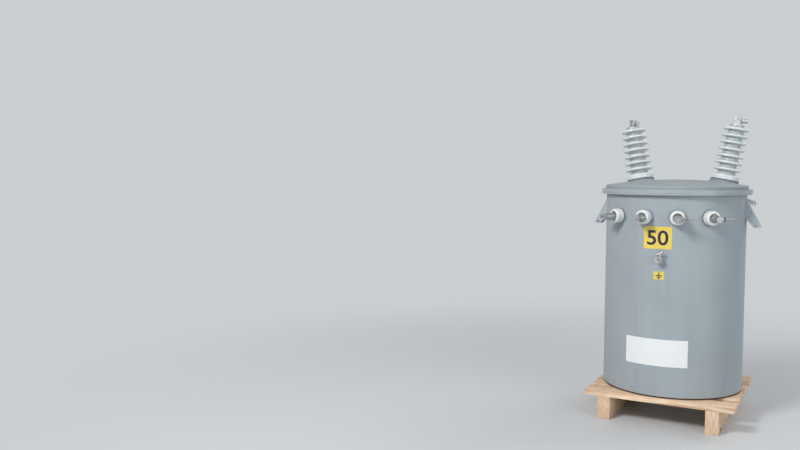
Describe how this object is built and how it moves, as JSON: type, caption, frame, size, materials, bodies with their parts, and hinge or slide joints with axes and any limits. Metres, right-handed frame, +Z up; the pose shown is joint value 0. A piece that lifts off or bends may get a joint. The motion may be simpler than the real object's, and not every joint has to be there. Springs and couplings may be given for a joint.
{
  "type": "pole mounted transformer",
  "caption": "Single-phase pole mounted distribution transformer: round steel tank, domed banded cover, tall shedded bushings, small side bushings, lugs and pole hangers, on a wooden pallet.",
  "frame": {"origin": "on the ground under the tank's axis, at the middle of the pallet", "axes": "+Z up; -Y is the front with the low voltage bushings, +Y the back with the pole hangers; +X to the right seen from the front"},
  "size_m": [0.622, 0.6507, 1.1552],
  "materials": {
    "tank_paint": "semi-gloss light grey paint over welded steel",
    "bottom_plate": "dull brown primer with some rust on the edge",
    "porcelain": "glossy pale sky-grey glaze",
    "zinc": "dull zinc plating",
    "terminal": "tinned casting, satin",
    "gasket": "matt black",
    "pine": "rough-sawn pale pine"
  },
  "bodies": {
    "root": {"pallet_runner_left": "pine", "pallet_runner_right": "pine", "deck_board_front": "pine", "deck_board_second": "pine", "deck_board_third": "pine", "deck_board_rear": "pine", "tank_bottom": "bottom_plate", "tank_shell": "tank_paint", "tank_rim": "tank_paint", "cover_gasket": "gasket", "cover": "tank_paint", "cover_band": "tank_paint", "cover_band_bolt": "zinc", "hv_boss_left": "tank_paint", "hv_boss_right": "tank_paint", "hv_gasket_left": "gasket", "hv_gasket_right": "gasket", "hv_bushing_left": "porcelain", "hv_bushing_right": "porcelain", "hv_stud_left": "zinc", "hv_stud_right": "zinc", "hv_terminal_left": "terminal", "hv_terminal_right": "terminal", "lv_gasket_1": "gasket", "lv_gasket_2": "gasket", "lv_gasket_3": "gasket", "lv_gasket_4": "gasket", "lv_bushing_1": "porcelain", "lv_bushing_2": "porcelain", "lv_bushing_3": "porcelain", "lv_bushing_4": "porcelain", "lv_terminal_1": "terminal", "lv_terminal_2": "terminal", "lv_terminal_3": "terminal", "lv_terminal_4": "terminal", "lifting_lug_left": "tank_paint", "lifting_lug_right": "tank_paint", "hanger_upper": "tank_paint", "hanger_lower": "tank_paint", "ground_pad": "tank_paint", "ground_connector": "terminal", "relief_valve": "zinc"}
  },
  "joints": []
}
